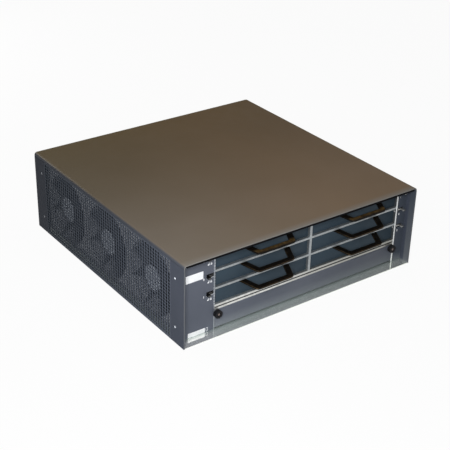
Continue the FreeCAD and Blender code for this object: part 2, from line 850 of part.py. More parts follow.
def build_rear():
    face = rear_panel_back + skin
    save("rear_panel", rear_panel())
    save("power_shelf", power_shelf())
    save("power_divider", power_divider())
    save("processor_tray", processor_tray())
    (x0, z0), (x1, z1) = screw_places("processor")
    save("processor_screw_left", captive_screw(x0, face, z0, 1))
    save("processor_screw_right", captive_screw(x1, face, z1, 1))
    save("processor_handle", rear_handle((x0 + x1) / 2, z0))
    save("power_supply_case", power_supply_case())
    save("power_supply_face", power_face())
    save("power_inlet", inlet_socket())
    save("power_rocker", rocker_switch())
    x, z = screw_places("left")[0]
    save("power_supply_screw", captive_screw(x, face, z, 1))
    left_x, right_x, low_z, high_z = bay_openings()["left"]
    save("power_handle", rear_handle((left_x + right_x) / 2, high_z - rear_handle_leg))
    save("power_filler", drilled_face("right"))
    x, z = screw_places("right")[0]
    save("power_filler_screw", captive_screw(x, face, z, 1))


build_sleeve()
build_cage()
build_slots()
build_fans()
build_rear()

os.makedirs("parts", exist_ok=True)
for name, shape in made.items():
    shape.exportStep("parts/" + name + ".step")
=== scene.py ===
import json
import math

import bmesh
import bpy
from mathutils import Matrix, Vector


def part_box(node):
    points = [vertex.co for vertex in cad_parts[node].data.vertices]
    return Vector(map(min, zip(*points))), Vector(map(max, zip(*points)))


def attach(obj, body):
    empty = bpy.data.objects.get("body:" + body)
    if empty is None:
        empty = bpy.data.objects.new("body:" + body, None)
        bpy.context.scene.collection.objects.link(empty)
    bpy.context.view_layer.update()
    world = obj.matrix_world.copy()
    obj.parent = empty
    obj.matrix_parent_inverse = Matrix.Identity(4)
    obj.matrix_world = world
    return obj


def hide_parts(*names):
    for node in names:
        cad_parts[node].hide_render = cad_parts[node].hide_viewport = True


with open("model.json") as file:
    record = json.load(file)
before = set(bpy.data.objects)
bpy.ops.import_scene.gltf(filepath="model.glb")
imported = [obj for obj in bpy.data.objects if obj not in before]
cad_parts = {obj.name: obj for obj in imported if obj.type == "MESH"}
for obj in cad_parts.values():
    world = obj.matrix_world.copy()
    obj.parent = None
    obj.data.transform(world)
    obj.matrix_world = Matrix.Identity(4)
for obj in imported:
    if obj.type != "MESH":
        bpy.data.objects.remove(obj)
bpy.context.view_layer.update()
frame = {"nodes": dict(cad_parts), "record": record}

# Lengths are in metres and angles in degrees

MM = 0.001
SLOT_OF = {row["node"]: row["material_slot"] for row in frame["record"]["subparts"]}
BODY_OF = {node: body for body, nodes in frame["record"]["behaviour"]["bodies"].items() for node in nodes}
ROWS = ("lower", "middle", "upper")
SIDES = ("left", "right")
FANS = ("front", "middle", "rear")
SAME_POINT = 0.002 * MM
SEAM = 0.01 * MM
SAME_PLANE = 0.05 * MM
FLAT_ANGLE = 1


# Modelling by hand

def clear_selection():
    if bpy.context.mode != "OBJECT":
        bpy.ops.object.mode_set(mode="OBJECT")
    bpy.ops.object.select_all(action="DESELECT")


def work_on(piece):
    clear_selection()
    piece.select_set(True)
    bpy.context.view_layer.objects.active = piece


def open_mesh(piece):
    """Edit mode with everything selected."""
    work_on(piece)
    bpy.ops.object.mode_set(mode="EDIT")
    bpy.ops.mesh.select_mode(type="VERT")
    bpy.ops.mesh.select_all(action="SELECT")


def close_mesh():
    bpy.ops.object.mode_set(mode="OBJECT")


def pick(piece, kind, rule):
    """In edit mode, selects what the rule accepts: points by place, edges by middle and edge, faces by
    middle and normal."""
    bpy.ops.mesh.select_mode(type=kind)
    bpy.ops.mesh.select_all(action="DESELECT")
    mesh = bmesh.from_edit_mesh(piece.data)
    if kind == "VERT":
        for point in mesh.verts:
            point.select_set(rule(point.co))
    elif kind == "EDGE":
        for edge in mesh.edges:
            edge.select_set(rule((edge.verts[0].co + edge.verts[1].co) / 2, edge))
    else:
        for face in mesh.faces:
            face.select_set(rule(face.calc_center_median(), face.normal))
    mesh.select_flush_mode()
    bmesh.update_edit_mesh(piece.data)


def named(name):
    """The new primitive, with its place put into its mesh."""
    piece = bpy.context.object
    piece.name = name
    piece.data.name = name
    bpy.ops.object.transform_apply(location=True, rotation=True, scale=True)
    return piece


def box_between(name, low, high):
    clear_selection()
    low, high = Vector(low), Vector(high)
    bpy.ops.mesh.primitive_cube_add(size=1, location=(low + high) / 2)
    bpy.context.object.scale = high - low
    return named(name)


def modify(piece, kind, **settings):
    """Adds a modifier and applies it."""
    work_on(piece)
    modifier = piece.modifiers.new(kind.title(), kind)
    for key, value in settings.items():
        setattr(modifier, key, value)
    bpy.ops.object.modifier_apply(modifier=modifier.name)


def round_edges(piece, width, segments=2, angle=40, **settings):
    modify(piece, "BEVEL", width=width, segments=segments, limit_method="ANGLE",
           angle_limit=math.radians(angle), harden_normals=False, **settings)


def smooth(piece, angle=35):
    work_on(piece)
    bpy.ops.object.shade_smooth_by_angle(angle=math.radians(angle))


def copied(piece, name, shift):
    """Copy with its own mesh, moved to its place."""
    twin = bpy.data.objects.new(name, piece.data.copy())
    bpy.context.scene.collection.objects.link(twin)
    twin.data.transform(Matrix.Translation(Vector(shift)))
    return twin


def joined(name, pieces):
    clear_selection()
    for piece in pieces:
        piece.select_set(True)
    bpy.context.view_layer.objects.active = pieces[0]
    bpy.ops.object.join()
    return named(name)


def fit(piece, body, slot, finishes, *nodes):
    """Gives a finished piece its finishes, its body and the nodes that it stands for."""
    for index, finish in enumerate(finishes):
        if index < len(piece.data.materials):
            piece.data.materials[index] = finish
        else:
            piece.data.materials.append(finish)
    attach(piece, body)
    if nodes:
        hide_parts(*nodes)


def softened(node, finishes, width, segments=2):
    """Copy of a solid with its sharp edges rounded; a second finish goes on the rounds."""
    piece = bpy.data.objects.new(node + "_finished", frame["nodes"][node].data.copy())
    bpy.context.scene.collection.objects.link(piece)
    piece.data.materials.clear()
    for finish in finishes:
        piece.data.materials.append(finish)
    open_mesh(piece)
    bpy.ops.mesh.customdata_custom_splitnormals_clear()
    bpy.ops.mesh.remove_doubles(threshold=SAME_POINT)
    bpy.ops.mesh.dissolve_limited(angle_limit=math.radians(FLAT_ANGLE))
    close_mesh()
    round_edges(piece, width, segments, material=len(finishes) - 1)
    smooth(piece)
    fit(piece, BODY_OF[node], SLOT_OF[node], finishes, node)


# Finishes; a pair of places tells where a tone starts to change and where the change ends

# Painted light on the lower front: where it starts on the input/output blank and on the right column, and
# where it is full.
FOOT_LIGHT_TOP = 20 * MM
COLUMN_FOOT_LIGHT_TOP = 14 * MM
LIT_FOOT = 0 * MM
FIELD_END = 182.5 * MM
# Plain margins before and behind the field of holes, darkened as painted shade.
FRONT_MARGIN = (-FIELD_END, -FIELD_END - 1 * MM)
REAR_MARGIN = (FIELD_END, FIELD_END + 1 * MM)
# Painted shade: span over which the side sheets darken from the front towards the rear.
SIDE_FADE = (-200 * MM, 310 * MM)
RIGHT_PANEL = (200 * MM, 210 * MM)
FRONT_LIP = (-204 * MM, -206 * MM)
# Painted light: span over which the front lip of the right panel grows paler towards its bottom.
LIP_LIGHT = (120 * MM, 0 * MM)
CUT_EDGE = (-215.4 * MM, -215.8 * MM)
# Spans on the cover: painted light brightening its top towards the front, a browner tint to the right,
# painted shade on its side strips to the rear, and a painted highlight band along the front.
COVER_LIGHT_FADE = (210 * MM, -120 * MM)
COVER_WARMTH = (-200 * MM, 80 * MM)
COVER_SIDE_SHADE = (-200 * MM, 180 * MM)
COVER_EDGE_HIGHLIGHT = 12 * MM
# Spans of the flange's darker side faces and of the dark line at its outer edge.
FLANGE_SIDE_FADE = (10 * MM, 16 * MM)
FLANGE_EDGE = (-1.4 * MM, -0.9 * MM)
# Base sheet: spans of the painted highlights at its front rim and ends, and depth of the painted shade at the
# foot of the blank.
PAN_RIM_HIGHLIGHT = (6 * MM, 1 * MM)
PAN_RIGHT_HIGHLIGHT = (130 * MM, 200 * MM)
PAN_LEFT_HIGHLIGHT = (-140 * MM, -170 * MM)
PAN_FOOT_SHADE = 7 * MM
# Painted shade: span over which the input/output rails grow dimmer towards the right.
RAIL_SHADE_FADE = (-60 * MM, 90 * MM)
# Painted shade: span over which the inserts darken towards the rear.
NUT_SHADE_FADE = (-100 * MM, 150 * MM)
GRIP_FRONT = (0.8 * MM, 4 * MM)
GRIP_REAR = (11 * MM, 7 * MM)
# Grain of the strap's patches, which carry its painted warm sheen and highlights.
STRAP_PATCH_GRAIN = 7 * MM


def new_finish(name, metallic=0.0, specular=0.5, roughness=0.5):
    finish = bpy.data.materials.new(name)
    finish.use_nodes = True
    shader = finish.node_tree.nodes["Principled BSDF"]
    shader.inputs["Metallic"].default_value = metallic
    shader.inputs["Specular IOR Level"].default_value = specular
    shader.inputs["Roughness"].default_value = roughness
    return finish, finish.node_tree, shader


def where(tree, stretch=(1, 1, 1)):
    """Place on the object, stretched along its axes."""
    place = tree.nodes.new("ShaderNodeTexCoord")
    mapping = tree.nodes.new("ShaderNodeMapping")
    mapping.inputs["Scale"].default_value = stretch
    tree.links.new(place.outputs["Object"], mapping.inputs["Vector"])
    return mapping.outputs["Vector"]


def mottle(tree, grain, detail=2.0, stretch=(1, 1, 1)):
    """Cloudy pattern whose blotches are about one grain across."""
    noise = tree.nodes.new("ShaderNodeTexNoise")
    noise.inputs["Scale"].default_value = 1 / grain
    noise.inputs["Detail"].default_value = detail
    tree.links.new(where(tree, stretch), noise.inputs["Vector"])
    return noise.outputs["Fac"]


def crystals(tree, grain):
    """Patches of an even shade each, as on hot-dipped zinc."""
    cells = tree.nodes.new("ShaderNodeTexVoronoi")
    cells.inputs["Scale"].default_value = 1 / grain
    tree.links.new(where(tree), cells.inputs["Vector"])
    split = tree.nodes.new("ShaderNodeSeparateColor")
    tree.links.new(cells.outputs["Color"], split.inputs["Color"])
    return split.outputs["Red"]


def shades(tree, factor, first, last):
    """Colour ramp between two stops; a stop is a place on the ramp and a colour."""
    ramp = tree.nodes.new("ShaderNodeValToRGB")
    for element, (position, colour) in zip(ramp.color_ramp.elements, (first, last)):
        element.position = position
        element.color = (*colour, 1)
    tree.links.new(factor, ramp.inputs["Fac"])
    return ramp.outputs["Color"]


def scaled(tree, factor, low, high, start=0.0, end=1.0):
    """Maps start to end of a factor on low to high."""
    span = tree.nodes.new("ShaderNodeMapRange")
    for socket, value in (("From Min", start), ("From Max", end), ("To Min", low), ("To Max", high)):
        span.inputs[socket].default_value = value
    tree.links.new(factor, span.inputs["Value"])
    return span.outputs["Result"]


def facing(tree, axis, start, end, either_way=False):
    """0 to 1 as the surface turns towards an axis, or towards either end of it."""
    geometry = tree.nodes.new("ShaderNodeNewGeometry")
    split = tree.nodes.new("ShaderNodeSeparateXYZ")
    tree.links.new(geometry.outputs["True Normal"], split.inputs["Vector"])
    turned = split.outputs[axis]
    if either_way:
        size = tree.nodes.new("ShaderNodeMath")
        size.operation = "ABSOLUTE"
        tree.links.new(turned, size.inputs[0])
        turned = size.outputs[0]
    return scaled(tree, turned, 0, 1, start, end)


def along(tree, axis, start, end):
    """0 to 1 from one place to another along an axis of the object."""
    split = tree.nodes.new("ShaderNodeSeparateXYZ")
    tree.links.new(where(tree), split.inputs["Vector"])
    return scaled(tree, split.outputs[axis], 0, 1, start, end)


def both(tree, one, two):
    """1 where both factors are 1."""
    product = tree.nodes.new("ShaderNodeMath")
    product.operation = "MULTIPLY"
    tree.links.new(one, product.inputs[0])
    tree.links.new(two, product.inputs[1])
    return product.outputs[0]


def mixed(tree, factor, one, two, blend="MIX"):
    """Colour one where the factor is 0 and colour two where it is 1."""
    mix = tree.nodes.new("ShaderNodeMix")
    mix.data_type = "RGBA"
    mix.blend_type = blend
    tree.links.new(factor, mix.inputs["Factor"])
    for socket, value in (("A", one), ("B", two)):
        target = next(s for s in mix.inputs if s.name == socket and s.type == "RGBA")
        if isinstance(value, tuple):
            target.default_value = (*value, 1)
        else:
            tree.links.new(value, target)
    return next(s for s in mix.outputs if s.type == "RGBA")


def relief(tree, shader, height, depth, strength):
    bump = tree.nodes.new("ShaderNodeBump")
    bump.inputs["Strength"].default_value = strength
    bump.inputs["Distance"].default_value = depth
    tree.links.new(height, bump.inputs["Height"])
    tree.links.new(bump.outputs["Normal"], shader.inputs["Normal"])


def link(tree, output, shader, socket):
    tree.links.new(output, shader.inputs[socket])


def overlay(finish, factor, colour, blend="MIX"):
    """Lays a colour over a finish where the factor is 1."""
    tree = finish.node_tree
    shader = tree.nodes["Principled BSDF"]
    below = shader.inputs["Base Color"].links[0].from_socket
    link(tree, mixed(tree, factor, below, colour, blend), shader, "Base Color")
    return finish


def orange_peel(tree, shader):
    """Fine waves of sprayed paint."""
    relief(tree, shader, mottle(tree, 1.1 * MM, detail=1), 0.05 * MM, strength=0.5)


def powder_paint(name, dark, light, specular=0.15):
    finish, tree, shader = new_finish(name, specular=specular)
    cloud = mottle(tree, 60 * MM, detail=4)
    link(tree, shades(tree, cloud, (0.3, dark), (0.7, light)), shader, "Base Color")
    link(tree, scaled(tree, mottle(tree, 9 * MM), 0.36, 0.5), shader, "Roughness")
    orange_peel(tree, shader)
    return finish


def punched_paint(name, dark, light, hole_shade, edge, lip):
    """Side sheet: paint with painted shade on the walls of its holes, painted shade to the rear and on the
    plain margins past the field of holes, thin on the front cut edge, and paler towards the bottom of the
    front lip of the right panel as painted light."""
    finish = powder_paint(name, dark, light, specular=0.05)
    tree = finish.node_tree
    # Painted shade: faces not turned to either side, which are the walls of the holes, are darkened.
    overlay(finish, facing(tree, "X", 0.8, 0.4, either_way=True), hole_shade)
    # Painted shade: darker towards the rear.
    overlay(finish, along(tree, "Y", *SIDE_FADE), (0.012, 0.018, 0.026))
    # Painted shade on the plain front and rear margins, the rear one darker.
    overlay(finish, along(tree, "Y", *FRONT_MARGIN), (0.73, 0.73, 0.75), "MULTIPLY")
    overlay(finish, along(tree, "Y", *REAR_MARGIN), (0.31, 0.35, 0.45), "MULTIPLY")
    # Painted light: the front lip of the right panel grows paler towards its bottom.
    toned = mixed(tree, along(tree, "Z", *LIP_LIGHT), (0.060, 0.069, 0.086), lip)
    overlay(finish, both(tree, along(tree, "X", *RIGHT_PANEL), along(tree, "Y", *FRONT_LIP)), toned)
    return overlay(finish, along(tree, "Y", *CUT_EDGE), edge)


def foot_lit_paint(name, dark, light, foot_light, top):
    """Powder paint, paler towards the lower edge as painted light."""
    finish = powder_paint(name, dark, light)
    return overlay(finish, along(finish.node_tree, "Z", top, LIT_FOOT), foot_light)


def cover_paint(name):
    """Top sheet: slate paint at the sides; on top a brown that is painted warm light, darkened to the rear as
    painted shade, with painted highlights along the front.
    """
    finish, tree, shader = new_finish(name, specular=0.04)
    cloud = mottle(tree, 150 * MM, detail=5)
    rear = shades(tree, cloud, (0.25, (0.060, 0.041, 0.013)), (0.75, (0.073, 0.051, 0.019)))
    front = shades(tree, cloud, (0.25, (0.125, 0.103, 0.079)), (0.75, (0.142, 0.119, 0.095)))
    side = shades(tree, cloud, (0.25, (0.059, 0.065, 0.079)), (0.75, (0.068, 0.074, 0.090)))
    # Painted shade: the side strips darken towards the rear.
    side = mixed(tree, along(tree, "Y", *COVER_SIDE_SHADE), side, (0.030, 0.033, 0.042))
    # Painted light: the brown top brightens from the rear to the front.
    top = mixed(tree, along(tree, "Y", *COVER_LIGHT_FADE), rear, front)
    # Browner towards the right.
    top = mixed(tree, along(tree, "X", *COVER_WARMTH), top, (1.09, 0.93, 0.77), "MULTIPLY")
    front_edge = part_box("top_cover")[0].y
    # Painted highlight in a band along the front of the top.
    top = mixed(tree, along(tree, "Y", front_edge + COVER_EDGE_HIGHLIGHT, front_edge), top, (0.165, 0.150, 0.130))
    # Painted warm light: the brown goes on the faces turned up and the slate on the sides.
    colour = mixed(tree, facing(tree, "Z", 0.45, 0.9), side, top)
    # Painted highlight on the faces turned to the front.
    colour = mixed(tree, facing(tree, "Y", -0.3, -0.8), colour, (0.20, 0.19, 0.18))
    link(tree, colour, shader, "Base Color")
    link(tree, scaled(tree, mottle(tree, 20 * MM), 0.46, 0.53), shader, "Roughness")
    orange_peel(tree, shader)
    return finish


def plated_sheet(name, dark, light, grain=6 * MM, gloss=(0.28, 0.42), metallic=0.85):
    finish, tree, shader = new_finish(name, metallic=metallic)
    patch = crystals(tree, grain)
    link(tree, shades(tree, patch, (0.0, dark), (1.0, light)), shader, "Base Color")
    link(tree, scaled(tree, mottle(tree, 3 * MM), *gloss), shader, "Roughness")
    relief(tree, shader, mottle(tree, 0.6 * MM, stretch=(1, 6, 6)), 0.02 * MM, strength=0.3)
    return finish


def flange_sheet(name, dark, light, dark_tone):
    """Bright front flange of the right cage wall, darker on its faces beside the slots near the front, and
    with a dark line at its outer edge.
    """
    finish = plated_sheet(name, dark, light, metallic=0.3)
    tree = finish.node_tree
    low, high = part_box("cage_wall_right")
    depth = along(tree, "Y", *(low.y + place for place in FLANGE_SIDE_FADE))
    overlay(finish, facing(tree, "X", -0.3, -0.7), mixed(tree, depth, dark_tone, (0.50, 0.50, 0.48)))
    outer_edge = along(tree, "X", *(high.x + place for place in FLANGE_EDGE))
    return overlay(finish, outer_edge, (0.020, 0.022, 0.026))


def polished_sheet(name, dark, light, dark_tone):
    """Smooth base sheet that mirrors the front, with painted highlights at its front rim and towards both
    ends;
    painted shade lies along the foot of the input/output blank.
    """
    finish = plated_sheet(name, dark, light, gloss=(0.05, 0.1), metallic=0.78)
    tree = finish.node_tree
    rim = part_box("base_pan")[0].y
    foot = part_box("io_blank")[0].y
    # Painted highlights: paler at the front rim and towards both ends.
    overlay(finish, along(tree, "Y", *(rim + place for place in PAN_RIM_HIGHLIGHT)), (0.97, 1.0, 0.94))
    overlay(finish, along(tree, "X", *PAN_RIGHT_HIGHLIGHT), (0.95, 0.98, 0.91))
    overlay(finish, along(tree, "X", *PAN_LEFT_HIGHLIGHT), (0.97, 0.97, 0.94))
    # Painted shade along the foot of the input/output blank.
    return overlay(finish, along(tree, "Y", foot - PAN_FOOT_SHADE, foot), dark_tone)


def strap_finish(name, first, last, gloss, **settings):
    """Bent strap, black-coated or with a painted warm highlight; the two stops colour the patch pattern."""
    finish, tree, shader = new_finish(name, **settings)
    strap_patches = mottle(tree, STRAP_PATCH_GRAIN, detail=4)
    link(tree, shades(tree, strap_patches, first, last), shader, "Base Color")
    link(tree, scaled(tree, strap_patches, *gloss), shader, "Roughness")
    relief(tree, shader, mottle(tree, 0.8 * MM), 0.03 * MM, strength=0.4)
    return finish


def black_coat(name):
    """Black coating, faintly brown in patches as a painted warm sheen."""
    return strap_finish(name, (0.45, (0.003, 0.0022, 0.0016)), (0.8, (0.009, 0.006, 0.0035)), (0.55, 0.4),
                        specular=0.07)


def glinting_coat(name, dark, light):
    """Black coating with a painted warm highlight in brown on top of the grip."""
    finish = black_coat(name)
    tree = finish.node_tree
    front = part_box("upper_handle_left")[0].y
    glint = shades(tree, mottle(tree, STRAP_PATCH_GRAIN, detail=4), (0.3, dark), (0.65, light))
    on_grip = both(tree, along(tree, "Y", *(front + place for place in GRIP_FRONT)),
                   along(tree, "Y", *(front + place for place in GRIP_REAR)))
    return overlay(finish, both(tree, on_grip, facing(tree, "Z", 0.4, 0.7)), glint)


def glinting_edge(name, dark, light):
    """Strap edge with a painted warm highlight in brown metal."""
    return strap_finish(name, (0.3, dark), (0.65, light), (0.5, 0.32), metallic=0.7)


def moulded_plastic(name, dark, light, gloss=(0.4, 0.55), specular=0.2):
    finish, tree, shader = new_finish(name, specular=specular)
    grain = mottle(tree, 0.7 * MM, detail=3)
    link(tree, shades(tree, grain, (0.3, dark), (0.7, light)), shader, "Base Color")
    link(tree, scaled(tree, grain, *gloss), shader, "Roughness")
    relief(tree, shader, grain, 0.04 * MM, strength=0.4)
    return finish


def label_paper(name, dark, light):
    finish, tree, shader = new_finish(name, specular=0.3, roughness=0.55)
    fibre = mottle(tree, 4 * MM, detail=6)
    link(tree, shades(tree, fibre, (0.3, dark), (0.7, light)), shader, "Base Color")
    relief(tree, shader, mottle(tree, 0.4 * MM), 0.01 * MM, strength=0.3)
    return finish


SLATE_SHADES = ((0.078, 0.087, 0.110), (0.092, 0.101, 0.126))
SLATE = powder_paint("slate_paint", *SLATE_SHADES)
SIDE_SLATE = punched_paint("slate_side_paint", (0.072, 0.083, 0.109), (0.084, 0.095, 0.123),
                           hole_shade=(0.022, 0.026, 0.033), edge=(0.12, 0.125, 0.135),
                           lip=(0.125, 0.135, 0.150))
LEFT_COLUMN = powder_paint("slate_front_paint", *SLATE_SHADES)
# Painted highlight: faces turned upwards, such as the floors of the lever slots, are made pale.
overlay(LEFT_COLUMN, facing(LEFT_COLUMN.node_tree, "Z", 0.4, 0.8), (0.62, 0.63, 0.64))
# Painted shade: the right column is darker than the left one; it grows paler towards its foot as painted
# light.
RIGHT_COLUMN = foot_lit_paint("slate_column_paint", (0.050, 0.059, 0.077), (0.060, 0.070, 0.089),
                            foot_light=(0.125, 0.135, 0.150), top=COLUMN_FOOT_LIGHT_TOP)
BLANK = powder_paint("dark_slate_paint", (0.029, 0.044, 0.058), (0.036, 0.053, 0.069), specular=0.08)
# Painted light: the input/output blank grows paler towards its foot, lit from the bright base sheet.
IO_BLANK = foot_lit_paint("dusted_slate_paint", (0.086, 0.095, 0.118), (0.102, 0.111, 0.136),
                        foot_light=(0.155, 0.168, 0.185), top=FOOT_LIGHT_TOP)
COVER = cover_paint("browned_cover_paint")
ZINC = plated_sheet("zinc_sheet", (0.54, 0.54, 0.515), (0.69, 0.69, 0.66))
FLANGE_ZINC = flange_sheet("flange_sheet", (0.86, 0.87, 0.86), (0.95, 0.96, 0.95),
                           dark_tone=(0.070, 0.076, 0.080))
SHELF_ZINC = plated_sheet("dull_shelf_sheet", (0.30, 0.32, 0.33), (0.38, 0.40, 0.41), gloss=(0.4, 0.55))
RAIL_ZINC = plated_sheet("rail_sheet", (0.56, 0.565, 0.54), (0.72, 0.725, 0.70))
# Painted shade: the input/output rails grow dimmer towards the right.
overlay(RAIL_ZINC, along(RAIL_ZINC.node_tree, "X", *RAIL_SHADE_FADE), (0.34, 0.34, 0.315))
DULL_ZINC = plated_sheet("dull_zinc_sheet", (0.27, 0.29, 0.315), (0.36, 0.38, 0.41), gloss=(0.4, 0.55))
PAN = polished_sheet("base_sheet", (0.80, 0.85, 0.79), (0.87, 0.92, 0.86), dark_tone=(0.60, 0.66, 0.62))
STRAP = black_coat("black_strap_coating")
GLINT_STRAP = glinting_coat("worn_strap_coating", (0.018, 0.010, 0.003), (0.066, 0.041, 0.015))
GLINT_STRAP_EDGE = glinting_edge("rubbed_strap_edge", (0.006, 0.004, 0.002), (0.050, 0.029, 0.010))
PLASTIC = moulded_plastic("black_plastic", (0.010, 0.010, 0.011), (0.020, 0.020, 0.022))
FAN_PLASTIC = moulded_plastic("fan_plastic", (0.044, 0.048, 0.056), (0.062, 0.067, 0.077))
FAN_FRAME = plated_sheet("fan_frame_casting", (0.38, 0.395, 0.43), (0.48, 0.495, 0.53), gloss=(0.4, 0.5),
                         metallic=0.2)
KNOB = moulded_plastic("knob_plastic", (0.006, 0.006, 0.007), (0.012, 0.012, 0.013), specular=0.1)
SCREW = plated_sheet("blackened_screw", (0.16, 0.12, 0.11), (0.21, 0.17, 0.16), grain=1 * MM)
LEVER = plated_sheet("lever_sheet", (0.010, 0.010, 0.011), (0.018, 0.018, 0.019), grain=2 * MM,
                     gloss=(0.4, 0.5))
overlay(LEVER, facing(LEVER.node_tree, "Y", -0.3, -0.7), (0.085, 0.085, 0.082))
STEEL = plated_sheet("bright_steel", (0.38, 0.38, 0.37), (0.48, 0.48, 0.47), grain=2 * MM,
                     gloss=(0.22, 0.34))
NUT_ZINC = plated_sheet("clinch_nut_zinc", (0.74, 0.77, 0.82), (0.84, 0.87, 0.91), grain=2 * MM,
                        metallic=0.2)
# Painted shade: the rear inserts are darker.
overlay(NUT_ZINC, along(NUT_ZINC.node_tree, "Y", *NUT_SHADE_FADE), (0.24, 0.25, 0.27))
BOARD = moulded_plastic("board_laminate", (0.014, 0.055, 0.026), (0.026, 0.085, 0.042), gloss=(0.3, 0.42))
CASE = plated_sheet("galvanised_case", (0.25, 0.26, 0.26), (0.36, 0.37, 0.37), grain=11 * MM,
                    gloss=(0.5, 0.62), metallic=0.35)
# Painted shade: faces turned to the rear, seen only through the vent slots, are near-black.
overlay(CASE, facing(CASE.node_tree, "Y", 0.5, 0.9), (0.012, 0.012, 0.013))
# Near-black colour of the strip that stands in for the shadow under the cover's front edge.
SHADOW_BLACK = moulded_plastic("black_gasket", (0.004, 0.004, 0.005), (0.008, 0.008, 0.009), gloss=(0.8, 0.9),
                         specular=0.03)
PAPER = label_paper("label_paper", (0.80, 0.81, 0.82), (0.88, 0.88, 0.88))
DUSTY_PAPER = label_paper("dusty_label_paper", (0.64, 0.65, 0.66), (0.72, 0.72, 0.72))
HUB_PAPER = label_paper("fan_hub_label", (0.62, 0.67, 0.75), (0.72, 0.77, 0.85))
INK = label_paper("white_ink", (0.70, 0.71, 0.73), (0.78, 0.79, 0.80))
FINISH_OF_SLOT = {"slate_paint": SLATE, "cover_paint": COVER, "blank_paint": BLANK, "zinc_sheet": ZINC,
                  "black_handle": STRAP, "black_plastic": PLASTIC, "lever_steel": STEEL,
                  "circuit_board": BOARD, "case_steel": CASE}
FINISH_OF_NODE = {"base_pan": PAN, "left_side_panel": SIDE_SLATE, "right_side_panel": SIDE_SLATE,
                  "front_panel_left": LEFT_COLUMN, "front_panel_right": RIGHT_COLUMN,
                  "cage_wall_left": DULL_ZINC, "cage_wall_right": FLANGE_ZINC, "centre_divider": SHELF_ZINC,
                  "io_shelf": RAIL_ZINC, "io_bay_ceiling": RAIL_ZINC}
for place in FANS:
    FINISH_OF_NODE["fan_frame_" + place] = FAN_FRAME
for side in SIDES:
    FINISH_OF_NODE["middle_shelf_" + side] = SHELF_ZINC
    FINISH_OF_NODE["upper_shelf_" + side] = SHELF_ZINC


def paint_solids():
    """Gives each solid of the source its finish."""
    for node, solid in frame["nodes"].items():
        solid.data.materials.clear()
        solid.data.materials.append(FINISH_OF_NODE.get(node, FINISH_OF_SLOT[SLOT_OF[node]]))


# Perforated side panels

HOLE_PITCH_Y = 6.5 * MM
HOLE_PITCH_Z = 5.05 * MM
HOLE_RADIUS = 2.35 * MM
HOLE_COLUMNS = 56
HOLE_ROWS = 24
HOLE_SIDES = 12
FIELD_SKIN = 0.8 * MM
FIELD_RIM_Y = 0.5 * MM
FIELD_RIM_Z = 0.1 * MM
TAPPED = next(m for m in frame["record"]["mounts"] if m["name"] == "left_rack_holes")
TAPPED_Y = TAPPED["dims"]["spacing_x_mm"] * MM / 2
TAPPED_HALF_Z = TAPPED["dims"]["spacing_y_mm"] * MM / 2
TAPPED_Z = TAPPED["pos_m"][2]
TAPPED_RADIUS = TAPPED["dims"]["hole_r_mm"] * MM
CUTTER_DEPTH = 8 * MM
NUT_RADIUS = TAPPED_RADIUS * 0.97
NUT_WALL = 0.55 * MM
NUT_HOLE_DEPTH = 1.2 * MM
NUT_ROUND = 0.12 * MM


def tapped_places():
    """Y and Z of the four tapped holes."""
    return [(y, TAPPED_Z + z) for y in (-TAPPED_Y, TAPPED_Y) for z in (-TAPPED_HALF_Z, TAPPED_HALF_Z)]


def hole_cell(x):
    """One square of sheet round one hole, at the lower front corner of the grid."""
    y = -HOLE_PITCH_Y * (HOLE_COLUMNS - 1) / 2
    z = TAPPED_Z - HOLE_PITCH_Z * (HOLE_ROWS - 1) / 2
    upright = (0, math.pi / 2, 0)
    clear_selection()
    bpy.ops.mesh.primitive_grid_add(x_subdivisions=3, y_subdivisions=3, size=1, location=(x, y, z),
                                    rotation=upright)
    bpy.context.object.scale = (HOLE_PITCH_Z, HOLE_PITCH_Y, 1)
    cell = named("hole_cell")
    open_mesh(cell)
    pick(cell, "VERT", lambda at: abs(at.y - y) < HOLE_PITCH_Y / 3 and abs(at.z - z) < HOLE_PITCH_Z / 3)
    bpy.ops.mesh.delete(type="VERT")
    bpy.ops.mesh.primitive_circle_add(vertices=HOLE_SIDES, radius=HOLE_RADIUS, location=(x, y, z),
                                      rotation=upright)
    bpy.ops.transform.rotate(value=math.pi / HOLE_SIDES, orient_axis="X", center_override=(x, y, z))
    bpy.ops.mesh.select_all(action="SELECT")
    bpy.ops.mesh.select_mode(type="EDGE")
    bpy.ops.mesh.bridge_edge_loops()
    close_mesh()
    return cell


def widen(piece, axis, end, target):
    """Draws the border of an open sheet out from one end of an axis to a target."""
    pick(piece, "EDGE", lambda at, edge: edge.is_boundary and abs(at[axis] - end) < SAME_PLANE
         and abs(edge.verts[0].co[axis] - edge.verts[1].co[axis]) < SAME_PLANE)
    move = [0, 0, 0]
    move[axis] = target - end
    bpy.ops.mesh.extrude_region_move(TRANSFORM_OT_translate={"value": move})


